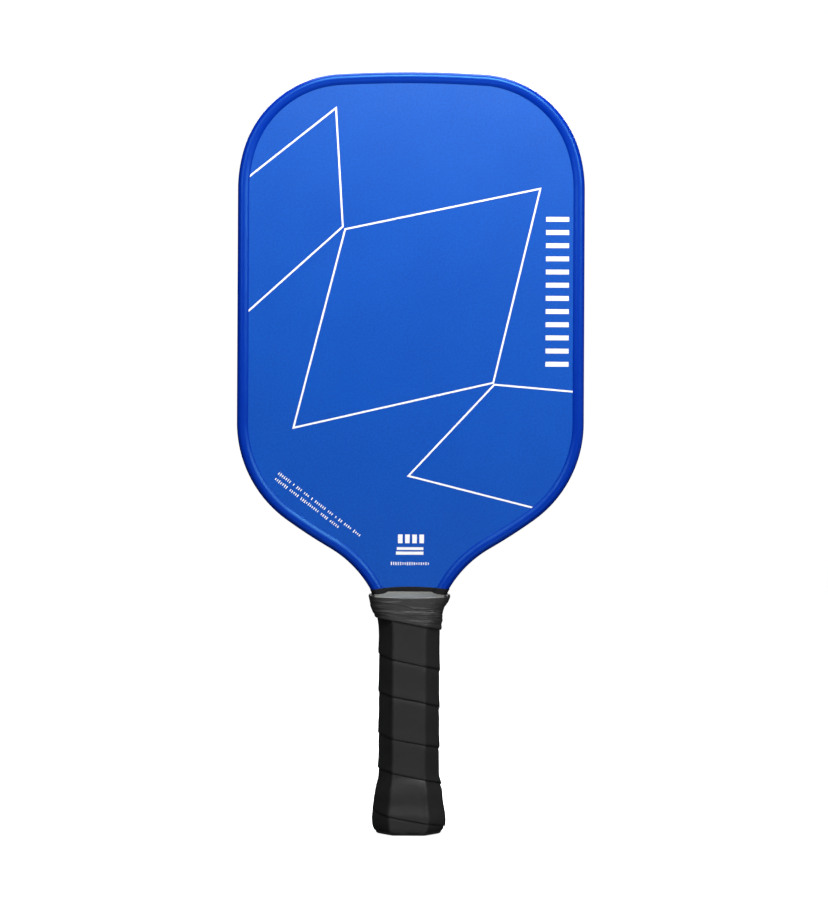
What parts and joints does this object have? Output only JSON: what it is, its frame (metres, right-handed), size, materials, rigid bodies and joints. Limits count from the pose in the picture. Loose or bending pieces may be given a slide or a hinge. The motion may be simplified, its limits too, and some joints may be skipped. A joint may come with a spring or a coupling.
{
  "type": "pickleball paddle",
  "caption": "Pickleball paddle with a blue laminated head on a honeycomb core, a blue edge guard and a black wrapped octagonal handle with a flared butt.",
  "frame": {"origin": "centre of the butt's flat end, on the handle's axis and the panel's middle plane", "axes": "+Z along the paddle from the butt to the crown; X across the width; the front striking face looks towards -Y"},
  "size_m": [0.1898, 0.036, 0.4166],
  "materials": {
    "core_polymer": "matte",
    "scrim_fabric": "matte",
    "face_blue": "satin",
    "bond_tape": "matte",
    "guard_blue": "satin",
    "black_tape": "matte",
    "shell_foam": "matte",
    "cap_black": "satin",
    "steel": "satin",
    "grip_felt": "matte",
    "grip_black": "satin",
    "finishing_tape_black": "gloss",
    "print_white": "matte"
  },
  "bodies": {
    "root": {"honeycomb_core": "core_polymer", "front_core_scrim": "scrim_fabric", "rear_core_scrim": "scrim_fabric", "front_face_sheet": "face_blue", "rear_face_sheet": "face_blue", "edge_bonding_tape": "bond_tape", "edge_guard": "guard_blue", "throat_tape": "black_tape", "front_handle_shell": "shell_foam", "rear_handle_shell": "shell_foam", "butt_cap": "cap_black", "butt_end_plug": "cap_black", "butt_cap_tacks": "steel", "grip_underlay": "grip_felt", "grip_start_staple": "steel", "grip_wrap": "grip_black", "finishing_tape": "finishing_tape_black"}
  },
  "joints": []
}
